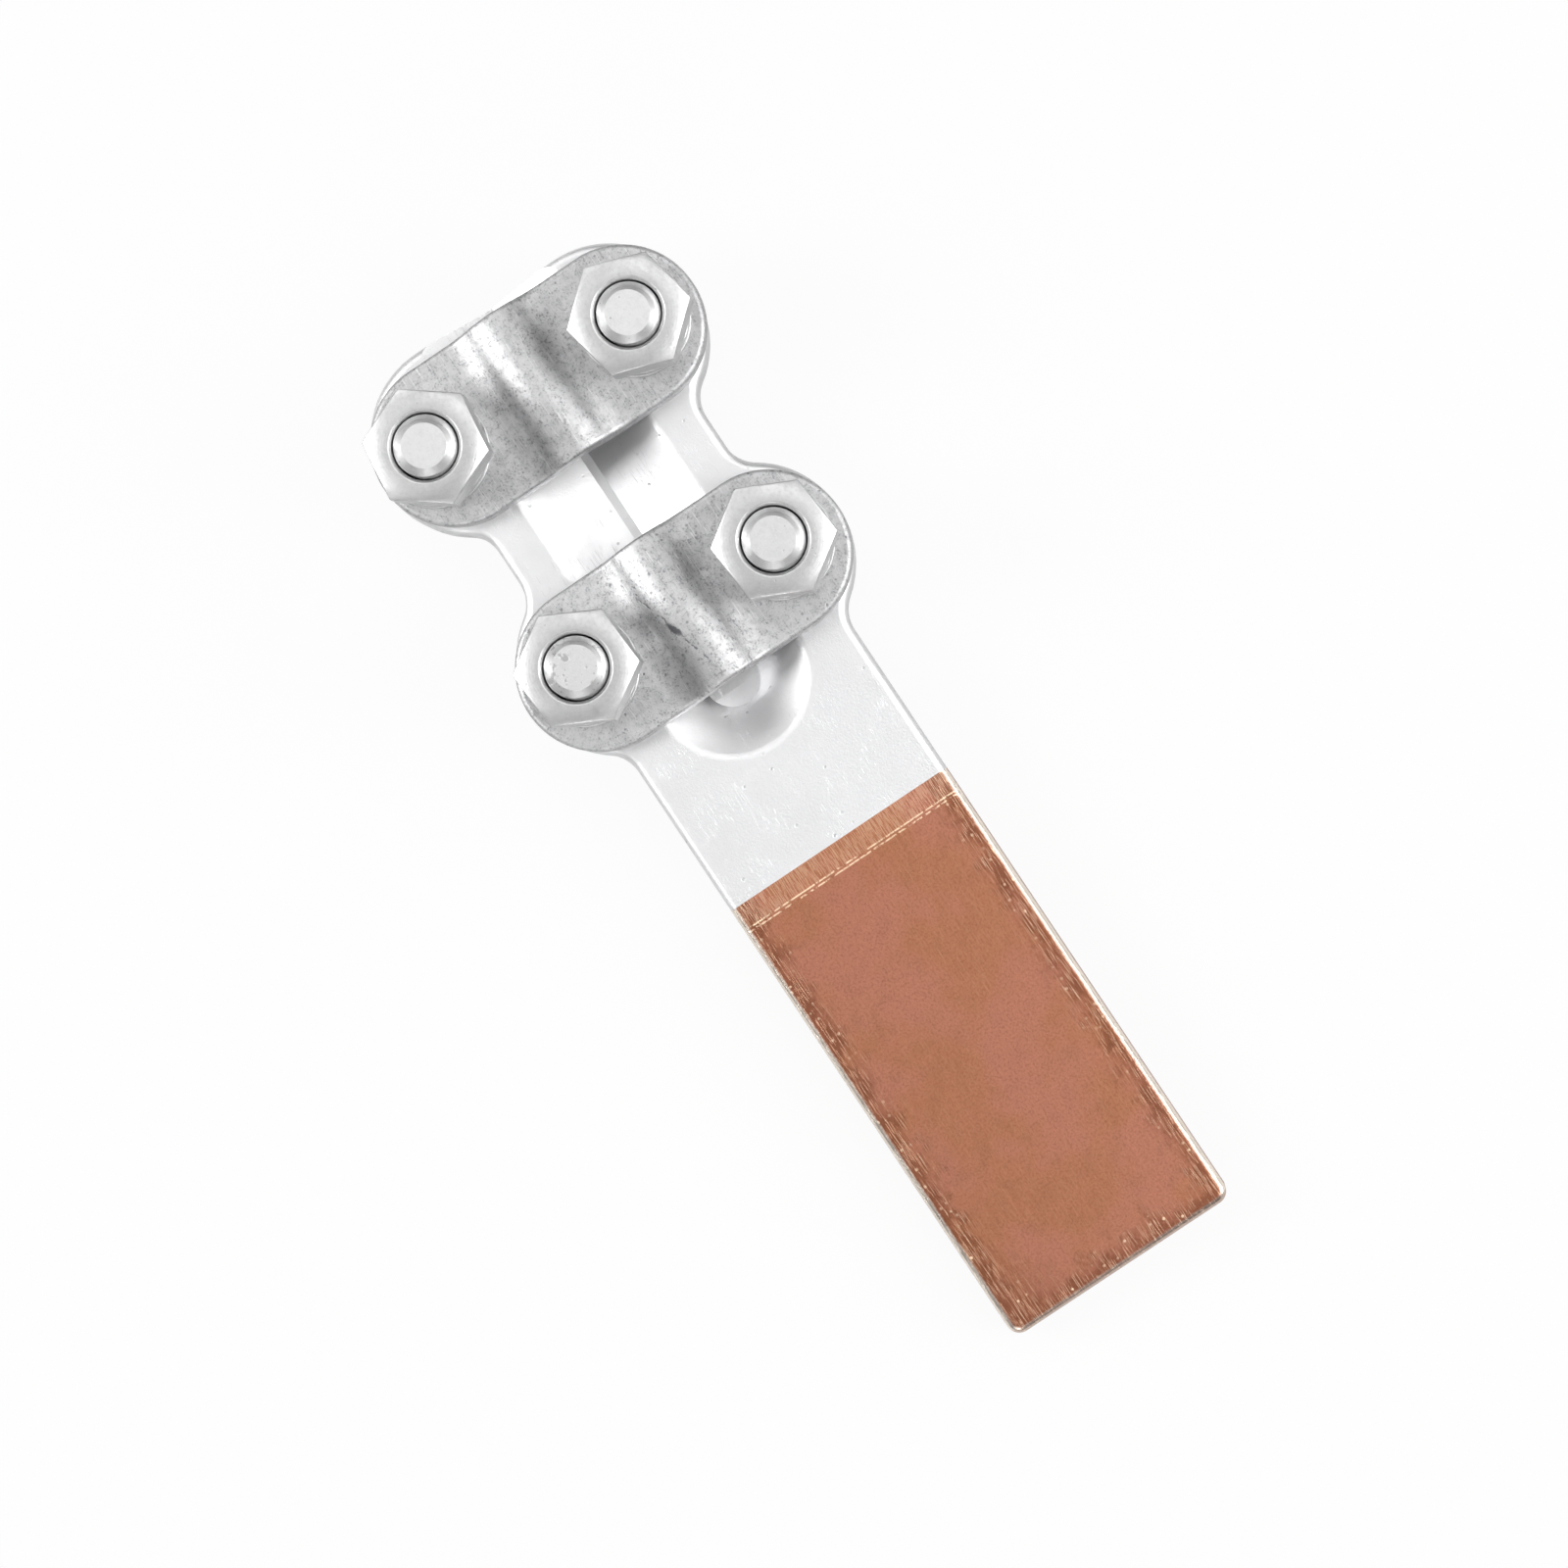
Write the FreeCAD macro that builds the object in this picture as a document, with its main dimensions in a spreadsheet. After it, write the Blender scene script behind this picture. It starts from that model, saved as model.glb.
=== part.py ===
"""Bolted cable clamp with a copper palm, as a parametric document in millimetres.

An aluminium body holds a stranded conductor in its V groove under two arched
steel plates, each pulled down by two bolts, and a blank copper palm is butt
welded to the body's other end.

Frame: the origin is the centre of the palm's top face, +Z points up out of that
face, and -X runs along the centreline to the cable entry. The outer plate is the
one at the cable entry, and left is +Y.
"""
import FreeCAD, Part
import os
import Sketcher

# Driving dimensions: alias, value in millimetres or degrees, what it sets
DRIVING_SIZES = (
    ("palm_length", 79.0, "copper palm, joint to free end"),
    ("bar_width", 40.0, "palm and the bar that carries it"),
    ("bar_thickness", 8.0, "palm, bar and ears"),
    ("edge_round", 1.3, "rounding of the outline's edges"),
    ("palm_corner", 2.2, "corners of the palm's free end, seen from above"),
    ("joint_to_inner", 43.0, "palm joint to the middle of the inner ears"),
    ("ear_pitch", 41.1, "middle of one pair of ears to the middle of the other"),
    ("ear_radius", 15.4, "rounded end of an ear"),
    ("ear_setback", 0.25, "tip of a clamp plate out from the tip of its ear"),
    ("waist_width", 38.4, "body between the two pairs of ears"),
    ("neck_fillet", 6.0, "hollow between an ear and the bar or waist"),
    ("groove_width", 24.4, "cable groove at the top face"),
    ("groove_floor", 1.4, "flat bottom of the cable groove"),
    ("groove_depth", 6.6, "top face to the groove's floor"),
    ("groove_lip", 2.4, "rounding of the groove's upper edge"),
    ("rib_wall", 5.4, "metal left under the groove's floor"),
    ("rib_side", 1.5, "upright side of the rib, which the bolt heads lie against"),
    ("rib_foot", 11.0, "width of the rib's flat bottom"),
    ("stop_diameter", 8.7, "cable stop"),
    ("stop_drop", 1.0, "top face down to the top of the stop"),
    ("stop_flat", 1.6, "stop's axis to the start of its sloping end"),
    ("body_hole", 11.0, "bolt holes in the ears"),
    ("bolt_gauge", 36.4, "distance between the two bolts of a plate"),
    ("plate_width", 26.0, "clamp plate along the conductor"),
    ("plate_margin", 10.55, "bolt hole's middle to the tip of a clamp plate"),
    ("plate_thickness", 4.0, "clamp plate"),
    ("plate_hole", 12.0, "bolt holes in the clamp plates"),
    ("plate_edge", 0.8, "rounding of a clamp plate's upper edge"),
    ("arch_rise", 4.2, "height of the arch in the middle of a plate"),
    ("arch_edge_rise", 3.0, "height of the arch at a plate's two sides"),
    ("seat_margin", 0.5, "washer's edge to the start of the arch"),
    ("bolt_diameter", 10.0, "bolt shank"),
    ("bolt_length", 25.0, "bolt under its head"),
    ("bolt_tip", 1.2, "chamfer at the bolt's end"),
    ("head_flats", 17.0, "bolt head across flats"),
    ("head_height", 6.4, "bolt head"),
    ("head_gap", 0.6, "rib to the flat of a bolt head"),
    ("nut_flats", 17.0, "nut across flats"),
    ("nut_height", 8.0, "nut"),
    ("nut_countersink", 11.2, "mouth of the nut's bore"),
    ("thread_gap", 0.05, "nut's bore to the bolt, on each side"),
    ("corner_angle", 30.0, "chamfer on the corners of the nuts and heads"),
    ("corner_reach", 0.42, "chamfer's inner circle in from the flats of a nut or head"),
    ("corner_clear", 2.1, "chamfer's cut out past the flats, beyond the corners"),
    ("washer_diameter", 17.6, "flat washer"),
    ("washer_hole", 10.6, "flat washer and spring washer, inside"),
    ("washer_thickness", 1.6, "flat washer"),
    ("spring_diameter", 17.2, "spring washer"),
    ("spring_thickness", 2.2, "spring washer"),
    ("spring_slit", 1.2, "gap between the spring washer's ends"),
    ("spring_slant", 1.0, "lean of the spring washer's gap over its thickness"),
    ("outer_plate_along", 0.0, "plate's place off the middle of its ears"),
    ("outer_plate_across", 0.4, "plate's place off the middle of its ears"),
    ("inner_plate_along", 0.45, "plate's place off the middle of its ears"),
    ("inner_plate_across", -0.15, "plate's place off the middle of its ears"),
    ("outer_left_along", 0.3, "bolt's place in its hole"),
    ("outer_left_across", 0.3, "bolt's place in its hole"),
    ("outer_right_along", -0.25, "bolt's place in its hole"),
    ("outer_right_across", -0.3, "bolt's place in its hole"),
    ("inner_left_along", 0.15, "bolt's place in its hole"),
    ("inner_left_across", -0.4, "bolt's place in its hole"),
    ("inner_right_along", -0.4, "bolt's place in its hole"),
    ("inner_right_across", 0.15, "bolt's place in its hole"),
    ("outer_left_turn", 11.0, "how far this nut is turned about its bolt"),
    ("outer_right_turn", -7.4, "how far this nut is turned about its bolt"),
    ("inner_left_turn", 4.4, "how far this nut is turned about its bolt"),
    ("inner_right_turn", 2.8, "how far this nut is turned about its bolt"),
)

# Reach of a cutting shape past the face that it cuts
CLEAR = "1"

# Places along the conductor
JOINT_X = "(-sizes.palm_length / 2)"
INNER_X = f"({JOINT_X} - sizes.joint_to_inner)"
OUTER_X = f"({INNER_X} - sizes.ear_pitch)"
ENTRY_X = f"({OUTER_X} - sizes.ear_radius)"
STOP_X = f"({INNER_X} + sizes.plate_width / 2)"

# Heights above the top face
UNDER_Z = "(-sizes.bar_thickness)"
RIB_Z = "(-sizes.groove_depth - sizes.rib_wall)"
WASHER_Z = "sizes.plate_thickness"
SPRING_Z = f"({WASHER_Z} + sizes.washer_thickness)"
NUT_Z = f"({SPRING_Z} + sizes.spring_thickness)"

# Half widths across the conductor
BOLT_Y = "(sizes.bolt_gauge / 2)"
RIB_Y = f"({BOLT_Y} - sizes.head_flats / 2 - sizes.head_gap)"
ARCH_Y = f"({BOLT_Y} - sizes.washer_diameter / 2 - sizes.seat_margin)"
PLATE_Y = f"({BOLT_Y} + sizes.plate_margin)"
EAR_Y = f"({PLATE_Y} - sizes.ear_setback)"

# Name of each plate with its place, and side of each bolt with its sign
PLATES = (("outer", OUTER_X), ("inner", INNER_X))
SIDES = (("left", ""), ("right", "-"))

NEAR = 0.01

document = FreeCAD.newDocument("cable_clamp")
sizes = document.addObject("Spreadsheet::Sheet", "sizes")
for row, (alias, value, meaning) in enumerate(DRIVING_SIZES, start=1):
    sizes.set(f"A{row}", meaning)
    sizes.set(f"B{row}", str(value))
    sizes.setAlias(f"B{row}", alias)
document.recompute()


def value_of(expression):
    """Number that an expression on the sheet gives."""
    return float(sizes.evalExpression(expression))


# Sketches


def sketch_on(body, name, role, offset="0"):
    """Empty sketch on an origin plane of its own body, moved along the plane's normal."""
    plane = next(item for item in body.Origin.OriginFeatures if item.Role == role)
    sketch = body.newObject("Sketcher::SketchObject", name)
    sketch.AttachmentSupport = [(plane, "")]
    sketch.MapMode = "FlatFace"
    sketch.setExpression("AttachmentOffset.Base.z", offset)
    return sketch


def bind(sketch, kind, arguments, expression):
    """Add a dimension to a sketch and tie it to an expression."""
    index = sketch.addConstraint(Sketcher.Constraint(kind, *arguments, value_of(expression)))
    sketch.setExpression(f"Constraints[{index}]", expression)


def pin_to_axis(sketch, geometry, vertex, kind, axis, expression):
    """Tie one coordinate of a point to an expression, whose sign picks the side."""
    if expression == "0":
        sketch.addConstraint(Sketcher.Constraint("PointOnObject", geometry, vertex, axis))
    elif value_of(expression) > 0:
        bind(sketch, kind, (-1, 1, geometry, vertex), expression)
    else:
        bind(sketch, kind, (geometry, vertex, -1, 1), f"-({expression})")


def pin_across(sketch, geometry, vertex, across):
    """Tie the first coordinate of a point to an expression."""
    pin_to_axis(sketch, geometry, vertex, "DistanceX", -2, across)


def pin(sketch, geometry, vertex, across, along):
    """Tie a point of a sketch to a place given by two expressions."""
    pin_across(sketch, geometry, vertex, across)
    pin_to_axis(sketch, geometry, vertex, "DistanceY", -1, along)


def join(sketch, first, first_vertex, second, second_vertex):
    """Make two points of a sketch one."""
    sketch.addConstraint(Sketcher.Constraint("Coincident", first, first_vertex, second, second_vertex))


def at(across, along):
    """Vector in a sketch's plane from two expressions."""
    return FreeCAD.Vector(value_of(across), value_of(along), 0)


def add_outline(sketch, corners):
    """Closed outline of straight lines through corners given as pairs of expressions."""
    lines = []
    for index, corner in enumerate(corners):
        following = corners[(index + 1) % len(corners)]
        lines.append(sketch.addGeometry(Part.LineSegment(at(*corner), at(*following)), False))
        pin(sketch, lines[-1], 1, *corner)
    for index, line in enumerate(lines):
        join(sketch, line, 2, lines[(index + 1) % len(lines)], 1)


def add_rounded_outline(sketch, corners, centres):
    """Closed outline through corners, with an anticlockwise arc into some of them.

    centres gives, for the number of the corner that an arc starts from, the arc's
    centre as a pair of expressions; its radius follows from its two ends. An arc
    runs anticlockwise from that corner's follower back to it.
    """
    sides = []
    for index, corner in enumerate(corners):
        following = corners[(index + 1) % len(corners)]
        if index in centres:
            centre = centres[index]
            sides.append((add_arc(sketch, at(*centre), at(*following), at(*corner)), 2, 1))
            pin_across(sketch, sides[-1][0], 3, centre[0])
        else:
            line = Part.LineSegment(at(*corner), at(*following))
            sides.append((sketch.addGeometry(line, False), 1, 2))
        pin(sketch, sides[-1][0], sides[-1][1], *corner)
    for index, (side, _, end) in enumerate(sides):
        following, start, _ = sides[(index + 1) % len(sides)]
        join(sketch, side, end, following, start)


def add_circle(sketch, across, along, diameter):
    """Circle about a place given by expressions."""
    axis = FreeCAD.Vector(0, 0, 1)
    circle = sketch.addGeometry(Part.Circle(at(across, along), axis, value_of(diameter) / 2), False)
    pin(sketch, circle, 3, across, along)
    bind(sketch, "Diameter", (circle,), diameter)


def add_arc(sketch, centre, start, end):
    """Arc about a point, anticlockwise from one point to another."""
    axis = FreeCAD.Vector(0, 0, 1)
    first = start - centre
    last = end - centre
    angles = (FreeCAD.Vector(1, 0, 0).getAngle(arm) * (1 if arm.y >= 0 else -1) for arm in (first, last))
    circle = Part.Circle(centre, axis, first.Length)
    return sketch.addGeometry(Part.ArcOfCircle(circle, *angles), False)


def add_tongue(sketch, middle, radius, near, centre, side=""):
    """Outline with straight sides from the line along = near and a half-round far end.

    With side "-" it is the same outline mirrored across the conductor.
    """
    right = f"({middle} + {radius})"
    left = f"({middle} - {radius})"
    foot = f"{side}({near})"
    bend = f"{side}({centre})"
    base = sketch.addGeometry(Part.LineSegment(at(left, foot), at(right, foot)), False)
    pin(sketch, base, 1, left, foot)
    pin(sketch, base, 2, right, foot)
    rise = sketch.addGeometry(Part.LineSegment(at(right, foot), at(right, bend)), False)
    fall = sketch.addGeometry(Part.LineSegment(at(left, bend), at(left, foot)), False)
    ends = [at(right, bend), at(left, bend)]
    vertices = [1, 2]
    if side:
        ends.reverse()
        vertices.reverse()
    arc = add_arc(sketch, at(middle, bend), *ends)
    pin(sketch, arc, 3, middle, bend)
    join(sketch, base, 2, rise, 1)
    join(sketch, base, 1, fall, 2)
    join(sketch, rise, 2, arc, vertices[0])
    join(sketch, fall, 1, arc, vertices[1])
    sketch.addConstraint(Sketcher.Constraint("Vertical", fall if side else rise))
    sketch.addConstraint(Sketcher.Constraint("Horizontal", arc, 1, arc, 3))
    sketch.addConstraint(Sketcher.Constraint("Horizontal", arc, 2, arc, 3))


def rectangle(left, right, low, high):
    """Corners of a rectangle, as pairs of expressions."""
    return [(left, low), (right, low), (right, high), (left, high)]


def hexagon(flats):
    """Corners of a hexagon about the origin, with two flats parallel to the first axis."""
    corner = f"({flats} / sqrt(3))"
    half = f"({flats} / 2)"
    upper = [(corner, "0"), (f"({corner} / 2)", half), (f"(-{corner} / 2)", half)]
    lower = [(f"(-{corner})", "0"), (f"(-{corner} / 2)", f"(-{half})"), (f"({corner} / 2)", f"(-{half})")]
    return upper + lower


# Features


def new_body(label, along, height="0", turn="0", across="0"):
    """Body with its own label, standing at a place bound to the sheet."""
    body = document.addObject("PartDesign::Body", label)
    body.Label = label
    body.Placement = FreeCAD.Placement(FreeCAD.Vector(), FreeCAD.Rotation(FreeCAD.Vector(0, 0, 1), 0))
    body.setExpression("Placement.Base.x", along)
    body.setExpression("Placement.Base.y", across)
    body.setExpression("Placement.Base.z", height)
    body.setExpression("Placement.Rotation.Angle", turn)
    return body


def pad(body, name, sketch, length):
    """Material from a sketch along its normal."""
    feature = body.newObject("PartDesign::Pad", name)
    feature.Profile = sketch
    feature.setExpression("Length", length)
    return feature


def cut_through(body, name, sketch, both_ways=False):
    """Pocket from a sketch through everything, against its normal or both ways."""
    feature = body.newObject("PartDesign::Pocket", name)
    feature.Profile = sketch
    feature.Type = "ThroughAll"
    feature.SideType = "Symmetric" if both_ways else "One side"
    return feature


def turned(body, name, sketch, kind):
    """Full turn of a sketch about its own upright axis, added or cut."""
    feature = body.newObject(f"PartDesign::{kind}", name)
    feature.Profile = sketch
    feature.ReferenceAxis = (sketch, ["V_Axis"])
    feature.Angle = 360
    return feature


def edges_where(feature, test):
    """Names of the edges of a feature whose inner points all pass a test."""
    names = []
    for index, edge in enumerate(feature.Shape.Edges, start=1):
        points = edge.discretize(Number=5)[1:-1]
        if all(test(point) for point in points):
            names.append(f"Edge{index}")
    return names


def round_edges(body, name, base, radius, test):
    """Fillet on the edges of a feature that pass a test."""
    document.recompute()
    names = edges_where(base, test)
    if not names:
        raise RuntimeError(f"{body.Label}: no edges for {name}")
    feature = body.newObject("PartDesign::Fillet", name)
    feature.Base = (base, names)
    feature.setExpression("Radius", radius)
    return feature


# Clamp body


def on_flat_outline(point):
    """Whether a point lies on the top or bottom face and off the palm joint."""
    level = min(abs(point.z), abs(point.z + value_of("sizes.bar_thickness"))) < NEAR
    return level and point.x < value_of(JOINT_X) - NEAR


def in_neck(point):
    """Whether a point lies where an ear meets the side of the bar or the waist."""
    sides = (value_of("sizes.waist_width / 2"), value_of("sizes.bar_width / 2"))
    beside = min(abs(abs(point.y) - side) for side in sides) < NEAR
    upright = value_of(UNDER_Z) + NEAR < point.z < -NEAR
    return beside and upright and point.x < value_of(JOINT_X) - NEAR


def make_body_outline(body):
    """Flat bar, waist and two pairs of ears, with hollow necks and rounded edges."""
    half_bar = "(sizes.bar_width / 2)"
    bar_sketch = sketch_on(body, "bar_outline", "XY_Plane", UNDER_Z)
    add_outline(bar_sketch, rectangle(INNER_X, JOINT_X, f"(-{half_bar})", half_bar))
    pad(body, "bar", bar_sketch, "sizes.bar_thickness")

    half_waist = "(sizes.waist_width / 2)"
    waist_sketch = sketch_on(body, "waist_outline", "XY_Plane", UNDER_Z)
    add_outline(waist_sketch, rectangle(OUTER_X, INNER_X, f"(-{half_waist})", half_waist))
    pad(body, "waist", waist_sketch, "sizes.bar_thickness")

    for plate, place in PLATES:
        for side, sign in SIDES:
            ear_sketch = sketch_on(body, f"{plate}_{side}_ear_outline", "XY_Plane", UNDER_Z)
            add_tongue(ear_sketch, place, "sizes.ear_radius", CLEAR, f"{EAR_Y} - sizes.ear_radius", sign)
            ear = pad(body, f"{plate}_{side}_ear", ear_sketch, "sizes.bar_thickness")
        bridge_sketch = sketch_on(body, f"{plate}_bridge_outline", "XY_Plane", UNDER_Z)
        bridge = rectangle(f"({place} - sizes.ear_radius)", f"({place} + sizes.ear_radius)", f"(-{CLEAR})", CLEAR)
        add_outline(bridge_sketch, bridge)
        ear = pad(body, f"{plate}_bridge", bridge_sketch, "sizes.bar_thickness")

    necks = round_edges(body, "necks", ear, "sizes.neck_fillet", in_neck)
    return round_edges(body, "outline_edges", necks, "sizes.edge_round", on_flat_outline)


def make_rib(body):
    """Rib that carries the metal under the groove, with a turned end towards the palm."""
    root = f"({UNDER_Z} / 2)"
    shoulder = f"({UNDER_Z} - sizes.rib_side)"
    half_foot = "(sizes.rib_foot / 2)"
    right = [(half_foot, RIB_Z), (RIB_Y, shoulder), (RIB_Y, root)]
    rib_sketch = sketch_on(body, "rib_section", "YZ_Plane", ENTRY_X)
    add_outline(rib_sketch, right + mirrored(right))
    pad(body, "rib", rib_sketch, f"{STOP_X} - {ENTRY_X}")

    end_sketch = turning_sketch(body, "rib_end_section")
    add_outline(end_sketch, [("0", RIB_Z)] + right + [("0", root)])
    turned(body, "rib_end", end_sketch, "Revolution")


def turning_sketch(body, name):
    """Sketch across the conductor whose upright axis is the axis of the cable stop."""
    return sketch_on(body, name, "YZ_Plane", STOP_X)


def mirrored(corners):
    """The same corners on the other side of the upright axis, in reverse order."""
    return [(f"(-{across})", along) for across, along in reversed(corners)]


def make_groove(body):
    """V groove open at the cable entry, ending in a half cone about the cable stop."""
    floor = "(-sizes.groove_depth)"
    half_floor = "(sizes.groove_floor / 2)"
    half_mouth = "(sizes.groove_width / 2)"
    flank = f"atan(sizes.groove_depth / ({half_mouth} - {half_floor}))"
    reach = f"(sizes.groove_lip * tan({flank} / 2))"
    lip = f"({half_mouth} + {reach})"
    bend = (f"({half_mouth} - {reach} * cos({flank}))", f"(-{reach} * sin({flank}))")
    centre = (lip, "(-sizes.groove_lip)")
    right = [(half_floor, floor), bend, (lip, "0"), (lip, CLEAR)]
    groove_sketch = turning_sketch(body, "groove_section")
    add_rounded_outline(groove_sketch, right + mirrored(right), {1: centre, 5: (f"(-{lip})", centre[1])})
    cut_through(body, "groove", groove_sketch)

    end_sketch = turning_sketch(body, "groove_end_section")
    add_rounded_outline(end_sketch, [("0", floor)] + right + [("0", CLEAR)], {2: centre})
    turned(body, "groove_end", end_sketch, "Groove")


def make_stop(body):
    """Round cable stop on the groove's end, with a sloping face towards the palm."""
    root = "(-sizes.groove_depth - sizes.rib_wall / 2)"
    top = "(-sizes.stop_drop)"
    stop_sketch = sketch_on(body, "stop_outline", "XY_Plane", root)
    add_circle(stop_sketch, STOP_X, "0", "sizes.stop_diameter")
    pad(body, "stop", stop_sketch, f"{top} - {root}")

    slope_start = f"({STOP_X} + sizes.stop_flat)"
    run = "(sizes.stop_diameter / 2 - sizes.stop_flat)"
    slope_end = f"({slope_start} + {run})"
    slope_sketch = sketch_on(body, "stop_slope_section", "XZ_Plane")
    corners = [(slope_start, top), (slope_end, f"({top} - {run})"), (slope_end, CLEAR), (slope_start, CLEAR)]
    add_outline(slope_sketch, corners)
    slope = cut_through(body, "stop_slope", slope_sketch)
    slope.Type = "Length"
    slope.SideType = "Symmetric"
    slope.setExpression("Length", "sizes.stop_diameter")


def make_clamp_body():
    """Aluminium body: bar, waist, ears, rib, groove, stop and bolt holes in one piece."""
    body = new_body("clamp_body", "0")
    make_body_outline(body)
    make_rib(body)
    make_groove(body)
    make_stop(body)
    hole_sketch = sketch_on(body, "bolt_hole_circles", "XY_Plane")
    for _, place in PLATES:
        for _, sign in SIDES:
            add_circle(hole_sketch, place, f"({sign}{BOLT_Y})", "sizes.body_hole")
    cut_through(body, "bolt_holes", hole_sketch)


# Copper palm


def on_palm_corner(point):
    """Whether a point lies on an upright edge of the palm's free end."""
    at_end = abs(point.x - value_of("sizes.palm_length / 2")) < NEAR
    return at_end and abs(abs(point.y) - value_of("sizes.bar_width / 2")) < NEAR


def off_palm_joint(point):
    """Whether a point lies on the palm's rim, its joint end included only at the sides."""
    level = min(abs(point.z), abs(point.z + value_of("sizes.bar_thickness"))) < NEAR
    at_side = abs(abs(point.y) - value_of("sizes.bar_width / 2")) < NEAR
    return level and (at_side or point.x > value_of(JOINT_X) + NEAR)


def make_copper_palm():
    """Blank copper palm with rounded edges, cut square at the joint."""
    body = new_body("copper_palm", "0")
    half_length = "(sizes.palm_length / 2)"
    half_width = "(sizes.bar_width / 2)"
    sketch = sketch_on(body, "palm_outline", "XY_Plane", UNDER_Z)
    add_outline(sketch, rectangle(f"(-{half_length})", half_length, f"(-{half_width})", half_width))
    blank = pad(body, "palm_blank", sketch, "sizes.bar_thickness")
    corners = round_edges(body, "palm_corners", blank, "sizes.palm_corner", on_palm_corner)
    round_edges(body, "palm_edges", corners, "sizes.edge_round", off_palm_joint)


# Clamp plates


def add_arch_section(body, name, offset, rise):
    """Half of the arch's section, from the middle of the plate to the flat tongue."""
    sketch = sketch_on(body, name, "YZ_Plane", offset)
    thickness = "sizes.plate_thickness"
    span = value_of(ARCH_Y)
    climb = value_of(rise)
    depth = value_of(thickness)
    bend = (span * span + climb * climb) / (4 * climb)
    foot_centre = FreeCAD.Vector(span, depth + bend, 0)
    crown_centre = FreeCAD.Vector(0, depth + climb - bend, 0)
    towards_crown = (crown_centre - foot_centre).normalize()
    upper_meet = foot_centre + towards_crown * bend
    lower_meet = foot_centre + towards_crown * (bend + depth)
    foot_top = FreeCAD.Vector(span, depth, 0)
    foot_bottom = FreeCAD.Vector(span, 0, 0)
    crown_top = FreeCAD.Vector(0, depth + climb, 0)
    crown_bottom = FreeCAD.Vector(0, climb, 0)

    foot = sketch.addGeometry(Part.LineSegment(foot_bottom, foot_top), False)
    upper_foot = add_arc(sketch, foot_centre, upper_meet, foot_top)
    upper_crown = add_arc(sketch, crown_centre, upper_meet, crown_top)
    middle = sketch.addGeometry(Part.LineSegment(crown_top, crown_bottom), False)
    lower_crown = add_arc(sketch, crown_centre, lower_meet, crown_bottom)
    lower_foot = add_arc(sketch, foot_centre, lower_meet, foot_bottom)

    pin(sketch, foot, 1, ARCH_Y, "0")
    pin(sketch, foot, 2, ARCH_Y, thickness)
    pin(sketch, middle, 1, "0", f"({thickness} + {rise})")
    sketch.addConstraint(Sketcher.Constraint("PointOnObject", middle, 2, -2))
    join(sketch, upper_foot, 2, foot, 2)
    join(sketch, lower_foot, 2, foot, 1)
    join(sketch, upper_crown, 2, middle, 1)
    join(sketch, lower_crown, 2, middle, 2)
    join(sketch, lower_foot, 3, upper_foot, 3)
    join(sketch, lower_crown, 3, upper_crown, 3)
    sketch.addConstraint(Sketcher.Constraint("Vertical", upper_foot, 3, foot, 2))
    sketch.addConstraint(Sketcher.Constraint("PointOnObject", upper_crown, 3, -2))
    sketch.addConstraint(Sketcher.Constraint("Equal", upper_foot, upper_crown))
    sketch.addConstraint(Sketcher.Constraint("Tangent", upper_foot, 1, upper_crown, 1))
    sketch.addConstraint(Sketcher.Constraint("Tangent", lower_foot, 1, lower_crown, 1))
    return sketch


def on_plate_rim(point):
    """Whether a point lies on the upper rim of a plate, whose own frame is at its middle."""
    radius = value_of("sizes.plate_width / 2")
    beyond = max(abs(point.y) - value_of(PLATE_Y) + radius, 0)
    off_axis = (beyond * beyond + point.x * point.x) ** 0.5
    return abs(off_axis - radius) < NEAR and point.z > value_of("sizes.plate_thickness") - NEAR


def make_clamp_plate(label, along, across):
    """Arched steel plate with two flat tongues, its arch higher in the middle than at its sides."""
    body = new_body(label, along, across=across)
    half_width = "(sizes.plate_width / 2)"
    sections = [
        add_arch_section(body, f"{label}_entry_section", f"(-{half_width})", "sizes.arch_edge_rise"),
        add_arch_section(body, f"{label}_middle_section", "0", "sizes.arch_rise"),
        add_arch_section(body, f"{label}_palm_section", half_width, "sizes.arch_edge_rise"),
    ]
    arch = body.newObject("PartDesign::AdditiveLoft", f"{label}_arch")
    arch.Profile = sections[0]
    arch.Sections = sections[1:]

    tongue_sketch = sketch_on(body, f"{label}_tongue_outline", "XY_Plane")
    add_tongue(tongue_sketch, "0", half_width, ARCH_Y, f"({PLATE_Y} - {half_width})")
    tongue = pad(body, f"{label}_tongue", tongue_sketch, "sizes.plate_thickness")

    mirror = body.newObject("PartDesign::Mirrored", f"{label}_other_half")
    mirror.Originals = [arch, tongue]
    mirror.MirrorPlane = (next(item for item in body.Origin.OriginFeatures if item.Role == "XZ_Plane"), [""])
    body.Tip = mirror

    rim = round_edges(body, f"{label}_rim", mirror, "sizes.plate_edge", on_plate_rim)
    body.Tip = rim
    hole_sketch = sketch_on(body, f"{label}_hole_circles", "XY_Plane")
    for _, sign in SIDES:
        add_circle(hole_sketch, "0", f"({sign}{BOLT_Y})", "sizes.plate_hole")
    holes = cut_through(body, f"{label}_holes", hole_sketch)
    holes.Reversed = True


# Fasteners


def add_corner_cut(sketch, flats, face, inward):
    """Triangle that bevels a hexagon's corners at one face; inward is the sign into the piece."""
    start = f"({flats} / 2 - sizes.corner_reach)"
    end = f"({flats} / 2 + sizes.corner_clear)"
    depth = f"(({end} - {start}) * tan(sizes.corner_angle * 1deg))"
    add_outline(sketch, [(start, face), (end, face), (end, f"({face} {inward} {depth})")])


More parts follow.
